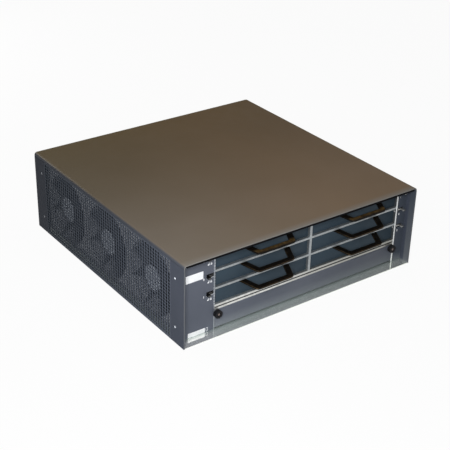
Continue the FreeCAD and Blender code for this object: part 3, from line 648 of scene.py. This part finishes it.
def perforated_panel(side, outward):
    """Side sheet, thinner across its field of holes."""
    node = side + "_side_panel"
    low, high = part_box(node)
    face = low.x if outward < 0 else high.x
    panel = hole_cell(face)
    for count, step in ((HOLE_COLUMNS, (0, HOLE_PITCH_Y, 0)), (HOLE_ROWS, (0, 0, HOLE_PITCH_Z))):
        modify(panel, "ARRAY", count=count, use_relative_offset=False, use_constant_offset=True,
               constant_offset_displace=step, use_merge_vertices=True, merge_threshold=SEAM)
    half_y = HOLE_PITCH_Y * HOLE_COLUMNS / 2
    half_z = HOLE_PITCH_Z * HOLE_ROWS / 2
    open_mesh(panel)
    widen(panel, 1, -half_y, low.y)
    widen(panel, 1, half_y, high.y)
    widen(panel, 2, TAPPED_Z - half_z, low.z)
    widen(panel, 2, TAPPED_Z + half_z, high.z)
    bpy.ops.mesh.select_all(action="SELECT")
    bpy.ops.mesh.normals_make_consistent(inside=False)
    close_mesh()
    first = panel.data.polygons[0].normal.x
    modify(panel, "SOLIDIFY", thickness=high.x - low.x, offset=-1 if first * outward > 0 else 1)
    inside = high.x if outward < 0 else low.x
    open_mesh(panel)
    pick(panel, "VERT", lambda at: abs(at.x - inside) < SAME_PLANE and abs(at.y) < half_y - FIELD_RIM_Y
         and abs(at.z - TAPPED_Z) < half_z - FIELD_RIM_Z)
    bpy.ops.transform.translate(value=(outward * (high.x - low.x - FIELD_SKIN), 0, 0))
    close_mesh()
    cutters = []
    for y, z in tapped_places():
        clear_selection()
        bpy.ops.mesh.primitive_cylinder_add(vertices=20, radius=TAPPED_RADIUS, depth=CUTTER_DEPTH,
                                            location=((low.x + high.x) / 2, y, z),
                                            rotation=(0, math.pi / 2, 0))
        cutters.append(named("tapped_hole"))
    cutter = joined("tapped_holes", cutters)
    modify(panel, "BOOLEAN", object=cutter, operation="DIFFERENCE", solver="MANIFOLD")
    bpy.data.objects.remove(cutter)
    panel.name = side + "_perforated_panel"
    smooth(panel, 30)
    fit(panel, "chassis", "slate_paint", [SIDE_SLATE], node)


def clinch_nuts(side, outward):
    """Bright tapped inserts pressed into the side panel."""
    low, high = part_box(side + "_side_panel")
    y, z = tapped_places()[0]
    clear_selection()
    bpy.ops.mesh.primitive_cylinder_add(vertices=24, radius=NUT_RADIUS, depth=high.x - low.x,
                                        location=((low.x + high.x) / 2, y, z),
                                        rotation=(0, math.pi / 2 * outward, 0))
    nut = named("clinch_nut")
    open_mesh(nut)
    pick(nut, "FACE", lambda at, normal: normal.x * outward > 0.9)
    bpy.ops.mesh.inset(thickness=NUT_WALL)
    bpy.ops.mesh.extrude_region_move(TRANSFORM_OT_translate={"value": (-outward * NUT_HOLE_DEPTH, 0, 0)})
    close_mesh()
    round_edges(nut, NUT_ROUND)
    nuts = [copied(nut, "clinch_nut", (0, at_y - y, at_z - z)) for at_y, at_z in tapped_places()]
    bpy.data.objects.remove(nut)
    nuts = joined(side + "_clinch_nuts", nuts)
    smooth(nuts)
    fit(nuts, "chassis", "lever_steel", [NUT_ZINC])


# Captive thumbscrews

KNOB_DEPTH = 6 * MM
KNOB_RIDGES = 22
KNOB_ROUND = 0.15 * MM
KNURL = 0.35 * MM
RECESS_RADIUS = 2.9 * MM
RECESS_DEPTH = 1.6 * MM
SCREW_RADIUS = 1.9 * MM
SCREW_RISE = 1.1 * MM
SHANK_RADIUS = 2 * MM


def thumbscrew(node):
    """Ridged black knob round a blackened screw end; it looks along Y away from the chassis."""
    low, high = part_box(node)
    look = -1 if low.y < 0 else 1
    radius = (high.z - low.z) / 2 - KNURL
    outer = low.y if look < 0 else high.y
    inner = high.y if look < 0 else low.y
    middle = Vector(((low.x + high.x) / 2, outer - look * KNOB_DEPTH / 2, (low.z + high.z) / 2))
    turn = (math.pi / 2 * -look, 0, 0)
    clear_selection()
    bpy.ops.mesh.primitive_cylinder_add(vertices=2 * KNOB_RIDGES, radius=radius, depth=KNOB_DEPTH,
                                        location=middle, rotation=turn)
    knob = named("captive_" + node)
    knob.data.materials.append(KNOB)
    knob.data.materials.append(SCREW)
    open_mesh(knob)
    pick(knob, "FACE", lambda at, normal: normal.y * look > 0.9)
    bpy.ops.mesh.inset(thickness=radius - RECESS_RADIUS)
    bpy.ops.mesh.extrude_region_move(TRANSFORM_OT_translate={"value": (0, -look * RECESS_DEPTH, 0)})
    bpy.ops.mesh.inset(thickness=RECESS_RADIUS - SCREW_RADIUS)
    knob.active_material_index = 1
    bpy.ops.object.material_slot_assign()
    bpy.ops.mesh.extrude_region_move(TRANSFORM_OT_translate={"value": (0, look * SCREW_RISE, 0)})
    step = 2 * math.pi / KNOB_RIDGES

    def on_ridge(at, normal):
        around = math.atan2(at.z - middle.z, at.x - middle.x) / step
        out = math.hypot(at.z - middle.z, at.x - middle.x) > radius * 0.95
        return abs(normal.y) < 0.1 and out and (around - math.floor(around)) < 0.5

    pick(knob, "FACE", on_ridge)
    bpy.ops.mesh.extrude_faces_move(TRANSFORM_OT_shrink_fatten={"value": KNURL})
    shank = abs(inner - outer) - KNOB_DEPTH
    shank_middle = (middle.x, (inner + outer - look * KNOB_DEPTH) / 2, middle.z)
    bpy.ops.mesh.primitive_cylinder_add(vertices=24, radius=SHANK_RADIUS, depth=shank, location=shank_middle,
                                        rotation=turn)
    close_mesh()
    round_edges(knob, KNOB_ROUND, angle=50)
    smooth(knob, 40)
    fit(knob, BODY_OF[node], SLOT_OF[node], [KNOB, SCREW], node)


# Fan rotors

HUB_RADIUS = 21.5 * MM
HUB_DEPTH = 18 * MM
HUB_ROUND = 0.8 * MM
HUB_RIM = 1.2 * MM
HUB_LABEL_SINK = 0.5 * MM
HUB_LABEL_GAP = 0.4 * MM
BLADES = 7
BLADE_STEPS = 5
BLADE_PITCH = 38
BLADE_TWIST = 14
BLADE_CAMBER = 1.6 * MM
BLADE_SKIN = 1.5 * MM
BLADE_ROUND = 0.4 * MM
ROOT_SINK = 1 * MM
ROOT_CHORD = 17 * MM
TIP_CHORD = 27 * MM


def fan_rotor(place):
    """Hub with a sunk label, and its blades."""
    node = "fan_rotor_" + place
    low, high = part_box(node)
    axis = Vector((0, (low.y + high.y) / 2, (low.z + high.z) / 2))
    tip = (high.z - low.z) / 2
    middle_x = low.x + HUB_DEPTH / 2
    clear_selection()
    bpy.ops.mesh.primitive_cylinder_add(vertices=48, radius=HUB_RADIUS, depth=HUB_DEPTH,
                                        location=(middle_x, axis.y, axis.z), rotation=(0, -math.pi / 2, 0))
    hub = named("fan_hub")
    hub.data.materials.append(FAN_PLASTIC)
    hub.data.materials.append(HUB_PAPER)
    open_mesh(hub)
    pick(hub, "FACE", lambda at, normal: normal.x < -0.9)
    bpy.ops.mesh.inset(thickness=HUB_RIM)
    bpy.ops.mesh.extrude_region_move(TRANSFORM_OT_translate={"value": (HUB_LABEL_SINK, 0, 0)})
    bpy.ops.mesh.inset(thickness=HUB_LABEL_GAP)
    hub.active_material_index = 1
    bpy.ops.object.material_slot_assign()
    close_mesh()
    round_edges(hub, HUB_ROUND, angle=60)
    rotor = joined(place + "_fan_wheel", [hub, fan_blades(axis, middle_x, tip)])
    smooth(rotor, 40)
    fit(rotor, BODY_OF[node], SLOT_OF[node], [FAN_PLASTIC, HUB_PAPER], node)


def fan_blades(axis, middle_x, tip):
    """One cambered, twisted blade, drawn out from its root and repeated round the hub."""
    root = HUB_RADIUS - ROOT_SINK
    at = Vector((middle_x, axis.y, axis.z + root))
    clear_selection()
    bpy.ops.mesh.primitive_grid_add(x_subdivisions=4, y_subdivisions=1, size=1, location=at)
    bpy.context.object.scale = (ROOT_CHORD, 1 * MM, 1)
    blade = named("fan_blade")
    open_mesh(blade)
    pick(blade, "VERT", lambda co: co.y > at.y)
    bpy.ops.mesh.delete(type="VERT")
    pick(blade, "VERT", lambda co: abs(co.x - at.x) < ROOT_CHORD * 0.3)
    bpy.ops.transform.translate(value=(0, BLADE_CAMBER, 0))
    bpy.ops.mesh.select_all(action="SELECT")
    bpy.ops.transform.rotate(value=math.radians(BLADE_PITCH), orient_axis="Z", center_override=at)
    bpy.ops.mesh.select_mode(type="EDGE")
    rise = (tip - root) / BLADE_STEPS
    growth = (TIP_CHORD / ROOT_CHORD) ** (1 / BLADE_STEPS)
    for step in range(BLADE_STEPS):
        at = at + Vector((0, 0, rise))
        bpy.ops.mesh.extrude_region_move(TRANSFORM_OT_translate={"value": (0, 0, rise)})
        bpy.ops.transform.rotate(value=math.radians(-BLADE_TWIST / BLADE_STEPS), orient_axis="Z",
                                 center_override=at)
        bpy.ops.transform.resize(value=(growth, growth, 1), center_override=at)
    close_mesh()
    modify(blade, "SOLIDIFY", thickness=BLADE_SKIN, offset=0)
    round_edges(blade, BLADE_ROUND, angle=60)
    open_mesh(blade)
    bpy.ops.mesh.spin(steps=BLADES - 1, dupli=True, angle=2 * math.pi * (BLADES - 1) / BLADES,
                      center=axis, axis=(1, 0, 0))
    bpy.ops.mesh.select_all(action="SELECT")
    bpy.ops.mesh.normals_make_consistent(inside=False)
    close_mesh()
    blade.data.materials.append(FAN_PLASTIC)
    return blade


# Stickers (left, bottom, height) and printed marks on the front columns

LABEL_SKIN = 0.15 * MM
INK_SKIN = 0.08 * MM
LABEL_WIDTH = 29 * MM
LABEL_CORNER = 0.8 * MM
UPPER_LABEL = (-199 * MM, 91 * MM, 12 * MM)
LOWER_LABEL = (-195 * MM, 1.7 * MM, 7.4 * MM)
KEY_OUTLINE = (-164.5 * MM, 2.2 * MM, 3.4 * MM, 6.4 * MM)
KEY_LINE = 0.5 * MM
OVAL_CORNER = 0.45
NUMBER_SIZE = 4.2 * MM
NUMBER_WEIGHT = 0.28 * MM
NUMBER_X = {"left": -169 * MM, "right": 198.6 * MM}
NUMBER_DROP = {"left": 1.6 * MM, "right": 6.5 * MM}
SLOT_NUMBERS = {"left": "135", "right": "246"}
PADLOCK_X = (-161.5 * MM, -156.7 * MM)
PADLOCK_DROP = 5.6 * MM
PADLOCK_WIDTH = 2.6 * MM
PADLOCK_HEIGHT = 2.0 * MM
PADLOCK_CORNER = 0.25 * MM
PADLOCK_SKIN = 1.4 * INK_SKIN
BOW_WIDTH = 0.7 * PADLOCK_WIDTH
BOW_HEIGHT = 1.6 * PADLOCK_HEIGHT
BOW_LINE = 0.45 * MM
BOW_LEAN = 0.45 * PADLOCK_WIDTH


def front_sheet(name, left, bottom, width, height, corner, skin, border=None):
    """Thin sheet with rounded corners on the front columns; a border keeps only its outline."""
    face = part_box("front_panel_left")[0].y
    clear_selection()
    bpy.ops.mesh.primitive_plane_add(size=1, location=(left + width / 2, face, bottom + height / 2),
                                     rotation=(math.pi / 2, 0, 0))
    bpy.context.object.scale = (width, height, 1)
    sheet = named(name)
    open_mesh(sheet)
    bpy.ops.mesh.bevel(offset=corner, segments=4, affect="VERTICES")
    if border:
        bpy.ops.mesh.select_all(action="SELECT")
        bpy.ops.mesh.inset(thickness=border)
        bpy.ops.mesh.delete(type="FACE")
    close_mesh()
    modify(sheet, "SOLIDIFY", thickness=skin, offset=1)
    return sheet


def blank_label(name, paper, left, bottom, height):
    label = front_sheet(name, left, bottom, LABEL_WIDTH, height, LABEL_CORNER, LABEL_SKIN)
    fit(label, "chassis", "label_paper", [paper])


def slot_number(digit, x, z):
    clear_selection()
    bpy.ops.object.text_add(location=(x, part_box("front_panel_left")[0].y, z), rotation=(math.pi / 2, 0, 0))
    number = bpy.context.object.data
    number.body = digit
    number.size = NUMBER_SIZE
    number.align_x = "CENTER"
    number.align_y = "CENTER"
    number.extrude = INK_SKIN
    number.offset = NUMBER_WEIGHT
    bpy.ops.object.convert(target="MESH")
    return named("slot_number")


def padlock(x, top, lean):
    """Plain padlock pictogram, its shackle set aside by the lean."""
    body = front_sheet("padlock_body", x - PADLOCK_WIDTH / 2, top - 2 * PADLOCK_HEIGHT, PADLOCK_WIDTH,
                       PADLOCK_HEIGHT, PADLOCK_CORNER, PADLOCK_SKIN)
    bow = front_sheet("padlock_bow", x - BOW_WIDTH / 2 + lean, top - BOW_HEIGHT, BOW_WIDTH, BOW_HEIGHT,
                      BOW_WIDTH * OVAL_CORNER, INK_SKIN, border=BOW_LINE)
    return [body, bow]


def printed_marks(side):
    """Slot numbers beside the levers; the left column also has an open and a shut padlock at each lever."""
    marks = []
    for row, digit in zip(ROWS, SLOT_NUMBERS[side]):
        low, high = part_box("%s_lever_%s" % (row, side))
        level = (low.z + high.z) / 2
        marks.append(slot_number(digit, NUMBER_X[side], level - NUMBER_DROP[side]))
        if side == "left":
            for x, lean in zip(PADLOCK_X, (BOW_LEAN, 0)):
                marks += padlock(x, level - PADLOCK_DROP, lean)
    if side == "left":
        left, bottom, width, height = KEY_OUTLINE
        marks.append(front_sheet("key_outline", left, bottom, width, height, width * OVAL_CORNER, INK_SKIN,
                                 border=KEY_LINE))
    marks = joined(side + "_slot_marks", marks)
    fit(marks, "chassis", "white_ink", [INK])


# Painted shadow strip, contact fingers and switch marks

SHEET_SKIN = 1.5 * MM
# Size and place of the black strip that stands in for the shadow under the cover's front edge.
SHADOW_STRIP_HEIGHT = 3.4 * MM
SHADOW_STRIP_DEPTH = 3 * MM
SHADOW_STRIP_SETBACK = 0.4 * MM
SHADOW_STRIP_INSET = 5 * MM
SHADOW_STRIP_ROUND = 0.5 * MM
FINGER_WIDTH = 2.6 * MM
FINGER_HEIGHT = 3.2 * MM
FINGER_PITCH = 4.4 * MM
FINGER_BULGE = 0.5 * MM
FINGER_SKIN = 0.15 * MM
RING_RADIUS = 2 * MM
BAR_WIDTH = 0.6 * MM
MARK_LINE = 0.5 * MM


def cover_shadow_strip():
    """Black strip under the front edge of the cover, standing in for the shadow in the gap there."""
    low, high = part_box("top_cover")
    under = high.z - SHEET_SKIN
    front = low.y + SHADOW_STRIP_SETBACK
    strip = box_between("cover_edge_gasket", (low.x + SHADOW_STRIP_INSET, front, under - SHADOW_STRIP_HEIGHT),
                        (high.x - SHADOW_STRIP_INSET, front + SHADOW_STRIP_DEPTH, under))
    round_edges(strip, SHADOW_STRIP_ROUND, 3)
    smooth(strip)
    fit(strip, "chassis", "black_plastic", [SHADOW_BLACK])


def contact_fingers():
    """Spring fingers along the front edge of the left cage wall, beside the slots."""
    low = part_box("cage_wall_left")[0]
    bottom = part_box("lower_blank_left")[0].z
    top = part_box("upper_blank_left")[1].z
    middle = Vector((low.x + SHEET_SKIN - FINGER_WIDTH / 2, low.y, bottom + FINGER_HEIGHT / 2))
    clear_selection()
    bpy.ops.mesh.primitive_grid_add(x_subdivisions=1, y_subdivisions=4, size=1, location=middle,
                                    rotation=(math.pi / 2, 0, 0))
    bpy.context.object.scale = (FINGER_WIDTH, FINGER_HEIGHT, 1)
    strip = named("contact_fingers")
    open_mesh(strip)
    for share in (0.4, 0.2):
        pick(strip, "VERT", lambda at: abs(at.z - middle.z) < FINGER_HEIGHT * share)
        bpy.ops.transform.translate(value=(0, -FINGER_BULGE / 2, 0))
    close_mesh()
    modify(strip, "SOLIDIFY", thickness=FINGER_SKIN, offset=1)
    modify(strip, "ARRAY", count=int((top - bottom) / FINGER_PITCH), use_relative_offset=False,
           use_constant_offset=True, constant_offset_displace=(0, 0, FINGER_PITCH))
    smooth(strip)
    fit(strip, "chassis", "zinc_sheet", [DULL_ZINC])


def rocker_marks():
    """Bar and ring printed on the two halves of the mains rocker."""
    node = "power_rocker"
    marks = []
    for half in (1, -1):
        faces = [f for f in frame["nodes"][node].data.polygons
                 if f.normal.y > 0.7 and f.normal.z * half > 0.05]
        area = sum(f.area for f in faces)
        middle = sum((f.center * f.area for f in faces), Vector()) / area
        turn = faces[0].normal.to_track_quat("Z", "Y").to_euler()
        clear_selection()
        if half > 0:
            bpy.ops.mesh.primitive_plane_add(size=1, location=middle, rotation=turn)
            bpy.context.object.scale = (BAR_WIDTH, 2 * RING_RADIUS, 1)
        else:
            bpy.ops.mesh.primitive_circle_add(vertices=24, radius=RING_RADIUS, fill_type="NGON",
                                              location=middle, rotation=turn)
        mark = named("switch_mark")
        open_mesh(mark)
        if half > 0:
            bpy.ops.mesh.bevel(offset=BAR_WIDTH / 3, segments=3, affect="VERTICES")
        else:
            bpy.ops.mesh.inset(thickness=MARK_LINE)
            bpy.ops.mesh.delete(type="FACE")
        close_mesh()
        modify(mark, "SOLIDIFY", thickness=INK_SKIN, offset=1)
        marks.append(mark)
    marks = joined("switch_marks", marks)
    fit(marks, BODY_OF[node], "white_ink", [INK])


# Stage and light

WHITE = (1, 1, 1, 1)
FLOOR_SIZE = 12
FLOOR_TONE = (0.6, 0.6, 0.6, 1)
FLOOR_SHADE = 0.05
FLOOR_GAP = 0.2 * MM
AMBIENT = 0.10
KEY_LAMP = dict(at=(-0.67, -0.84, 0.63), aim=(-0.10, -0.15, 0.05), size=0.3, power=12,
                colour=(0.96, 0.98, 1.0))
TOP_LAMP = dict(at=(0.15, 0.0, 1.5), aim=(0, 0, 0.1), size=1, power=6, colour=(1.0, 0.96, 0.90))
REAR_LAMP = dict(at=(-0.30, 1.40, 0.45), aim=(0, 0.2, 0.06), size=0.5, power=9, colour=(1, 1, 1))


def shown_to_camera(tree, shown, hidden, output):
    """Camera, glossy and transmitted rays meet the shown shader, all other rays the hidden one."""
    rays = tree.nodes.new("ShaderNodeLightPath")
    seen = rays.outputs["Is Camera Ray"]
    for name in ("Is Glossy Ray", "Is Transmission Ray"):
        either = tree.nodes.new("ShaderNodeMath")
        either.operation = "MAXIMUM"
        tree.links.new(seen, either.inputs[0])
        tree.links.new(rays.outputs[name], either.inputs[1])
        seen = either.outputs[0]
    mix = tree.nodes.new("ShaderNodeMixShader")
    tree.links.new(seen, mix.inputs[0])
    tree.links.new(hidden, mix.inputs[1])
    tree.links.new(shown, mix.inputs[2])
    tree.links.new(mix.outputs[0], tree.nodes[output].inputs["Surface"])


def studio_floor():
    clear_selection()
    bpy.ops.mesh.primitive_plane_add(size=FLOOR_SIZE, location=(0, 0, -FLOOR_GAP))
    floor = named("studio_floor")
    finish = bpy.data.materials.new("pale_floor")
    finish.use_nodes = True
    tree = finish.node_tree
    tree.nodes.remove(tree.nodes["Principled BSDF"])
    pale = tree.nodes.new("ShaderNodeBsdfDiffuse")
    pale.inputs["Color"].default_value = FLOOR_TONE
    glow = tree.nodes.new("ShaderNodeEmission")
    glow.inputs["Strength"].default_value = 1.0
    shaded = tree.nodes.new("ShaderNodeMixShader")
    shaded.inputs[0].default_value = FLOOR_SHADE
    tree.links.new(glow.outputs[0], shaded.inputs[1])
    tree.links.new(pale.outputs[0], shaded.inputs[2])
    shown_to_camera(tree, shaded.outputs[0], pale.outputs[0], "Material Output")
    floor.data.materials.append(finish)


def studio_world():
    world = bpy.data.worlds.new("studio")
    bpy.context.scene.world = world
    world.use_nodes = True
    tree = world.node_tree
    ambient = tree.nodes["Background"]
    ambient.inputs["Color"].default_value = WHITE
    ambient.inputs["Strength"].default_value = AMBIENT
    white = tree.nodes.new("ShaderNodeBackground")
    white.inputs["Color"].default_value = WHITE
    white.inputs["Strength"].default_value = 1.0
    shown_to_camera(tree, white.outputs[0], ambient.outputs[0], "World Output")


def softbox(name, at, aim, size, power, colour):
    lamp = bpy.data.lights.new(name, "AREA")
    lamp.shape = "SQUARE"
    lamp.size = size
    lamp.energy = power
    lamp.color = colour
    holder = bpy.data.objects.new(name, lamp)
    bpy.context.scene.collection.objects.link(holder)
    holder.visible_camera = False
    holder.location = at
    holder.rotation_euler = (Vector(aim) - Vector(at)).to_track_quat("-Z", "Y").to_euler()


# Camera of the photograph

CAMERA_AZIMUTH = -36.40
CAMERA_ELEVATION = 28.38
CAMERA_ROLL = 1.44
CAMERA_DISTANCE = 1.6910
CAMERA_SHIFT = (-7.80 * MM, 28.28 * MM)
CAMERA_TARGET = Vector((0, 0, 66.5 * MM))
SENSOR = 36.0
FOCAL_PIXELS = 1061.5
IMAGE_PIXELS = 450


def place_camera():
    azimuth, elevation, roll = (math.radians(a) for a in (CAMERA_AZIMUTH, CAMERA_ELEVATION, CAMERA_ROLL))
    back = Vector((math.sin(azimuth) * math.cos(elevation), -math.cos(azimuth) * math.cos(elevation),
                   math.sin(elevation)))
    level = Vector((math.cos(azimuth), math.sin(azimuth), 0))
    upright = back.cross(level)
    across = math.cos(roll) * level + math.sin(roll) * upright
    up = math.cos(roll) * upright - math.sin(roll) * level
    centre = CAMERA_TARGET - CAMERA_SHIFT[0] * across - CAMERA_SHIFT[1] * up + CAMERA_DISTANCE * back
    lens = bpy.data.cameras.new("photo_camera")
    lens.sensor_width = SENSOR
    lens.sensor_fit = "HORIZONTAL"
    lens.lens = FOCAL_PIXELS * SENSOR / IMAGE_PIXELS
    lens.clip_start = 0.01
    camera = bpy.data.objects.new("photo_camera", lens)
    bpy.context.scene.collection.objects.link(camera)
    camera.matrix_world = Matrix.Translation(centre) @ Matrix((across, up, back)).transposed().to_4x4()
    bpy.context.scene.camera = camera


# Assembly

HANDLE_ROUND = 0.7 * MM
BLANK_ROUND = 0.35 * MM
LEVER_ROUND = 0.25 * MM
COVER_ROUND = 0.5 * MM
PLATE_ROUND = 0.3 * MM
REAR_HANDLE_ROUND = 0.5 * MM

paint_solids()
for side, outward in zip(SIDES, (-1, 1)):
    perforated_panel(side, outward)
    clinch_nuts(side, outward)
for row in ROWS:
    for side in SIDES:
        # Upper grips carry a painted warm highlight on top, lower ones on their rounded edges.
        straps = [GLINT_STRAP, STRAP] if row == "upper" else [STRAP, GLINT_STRAP_EDGE]
        softened("%s_handle_%s" % (row, side), straps, HANDLE_ROUND, 3)
        softened("%s_blank_%s" % (row, side), [BLANK], BLANK_ROUND)
        softened("%s_lever_%s" % (row, side), [LEVER] if side == "left" else [STEEL], LEVER_ROUND)
softened("top_cover", [COVER], COVER_ROUND, 3)
softened("io_blank", [IO_BLANK], PLATE_ROUND)
for node in ("processor_tray", "power_supply_face", "power_filler"):
    softened(node, [SLATE], PLATE_ROUND)
for node in ("processor_handle", "power_handle"):
    softened(node, [STRAP], REAR_HANDLE_ROUND, 3)
for node in ("power_inlet", "power_rocker"):
    softened(node, [PLASTIC], PLATE_ROUND)
for node in ("io_screw_left", "io_screw_right", "processor_screw_left", "processor_screw_right",
             "power_supply_screw", "power_filler_screw"):
    thumbscrew(node)
for place in FANS:
    fan_rotor(place)
blank_label("upper_blank_label", PAPER, *UPPER_LABEL)
blank_label("lower_blank_label", DUSTY_PAPER, *LOWER_LABEL)
for side in SIDES:
    printed_marks(side)
cover_shadow_strip()
contact_fingers()
rocker_marks()
studio_floor()
studio_world()
softbox("key_softbox", **KEY_LAMP)
softbox("top_softbox", **TOP_LAMP)
softbox("rear_softbox", **REAR_LAMP)
place_camera()
bpy.context.scene.view_settings.view_transform = "Standard"
